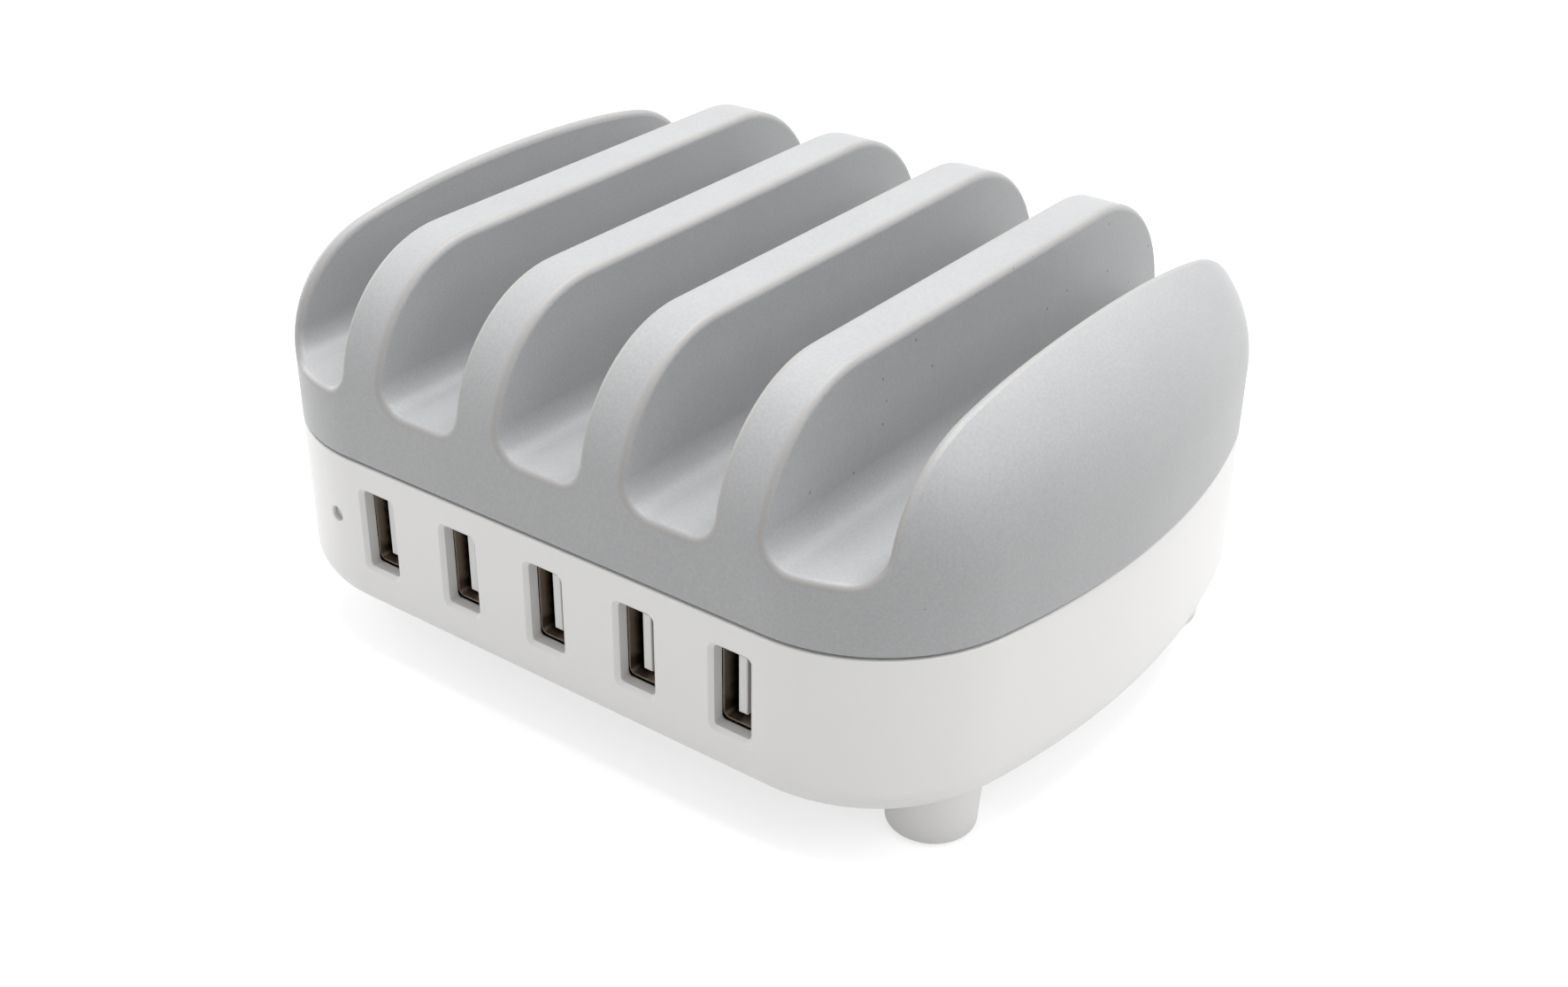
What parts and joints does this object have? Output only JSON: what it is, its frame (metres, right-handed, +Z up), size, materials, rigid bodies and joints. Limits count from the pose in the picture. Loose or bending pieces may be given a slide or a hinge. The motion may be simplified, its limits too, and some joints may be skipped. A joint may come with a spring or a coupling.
{
  "type": "charging station organizer",
  "caption": "Low rounded charging station: a white foot-mounted power base with a row of upright ports under a grey slotted rack that holds phones and tablets on edge.",
  "frame": {"origin": "on the standing surface, below the middle of the body", "axes": "+Z up, -Y out of the port side, +X to the right along the row of ports as seen from the port side"},
  "size_m": [0.1632, 0.1266, 0.0792],
  "materials": {
    "white_plastic": "smooth satin moulding",
    "grey_skin": "matt, fine grained soft skin",
    "frame_plastic": "moulded, as tooled",
    "pad_rubber": "matt",
    "screw_steel": "zinc plated",
    "board_laminate": "solder resist over glass laminate",
    "socket_steel": "bright rolled steel",
    "socket_plastic": "smooth",
    "contact_brass": "plated",
    "light_guide": "frosted, lets light through",
    "led_lens": "clear epoxy",
    "black_plastic": "fine texture",
    "ferrite": "sintered, matt",
    "winding_tape": "film tape over wire",
    "can_sleeve": "shrunk sleeve",
    "film_case": "moulded box",
    "sink_aluminium": "extruded",
    "fuse_glass": "glass barrel with metal caps"
  },
  "bodies": {
    "station": {"base_shell": "white_plastic", "rack_cover": "grey_skin", "rack_frame": "frame_plastic", "foot_pad_1": "pad_rubber", "foot_pad_2": "pad_rubber", "foot_pad_3": "pad_rubber", "foot_pad_4": "pad_rubber", "case_screws": "screw_steel", "board_screws": "screw_steel", "main_board": "board_laminate", "usb_shell_1": "socket_steel", "usb_insulator_1": "socket_plastic", "usb_contacts_1": "contact_brass", "usb_shell_2": "socket_steel", "usb_insulator_2": "socket_plastic", "usb_contacts_2": "contact_brass", "usb_shell_3": "socket_steel", "usb_insulator_3": "socket_plastic", "usb_contacts_3": "contact_brass", "usb_shell_4": "socket_steel", "usb_insulator_4": "socket_plastic", "usb_contacts_4": "contact_brass", "usb_shell_5": "socket_steel", "usb_insulator_5": "socket_plastic", "usb_contacts_5": "contact_brass", "light_pipe": "light_guide", "status_led": "led_lens", "led_holder": "black_plastic", "mains_inlet": "black_plastic", "switch_housing": "black_plastic", "power_transistor": "black_plastic", "bridge_rectifier": "black_plastic", "charge_chips": "black_plastic", "inlet_pins": "contact_brass", "transformer_core": "ferrite", "filter_choke": "ferrite", "transformer_winding": "winding_tape", "bulk_capacitor_1": "can_sleeve", "bulk_capacitor_2": "can_sleeve", "output_capacitor_1": "can_sleeve", "output_capacitor_2": "can_sleeve", "output_capacitor_3": "can_sleeve", "filter_capacitor": "film_case", "heat_sink": "sink_aluminium", "fuse": "fuse_glass"},
    "rocker": {"power_rocker": "black_plastic"}
  },
  "joints": [
    {"name": "rocker_tip", "type": "hinge", "parent": "station", "child": "rocker", "pos_m": [0.0145, 0.0591, 0.0276], "axis": [-1, 0, 0], "range_deg": [0, 16]}
  ]
}
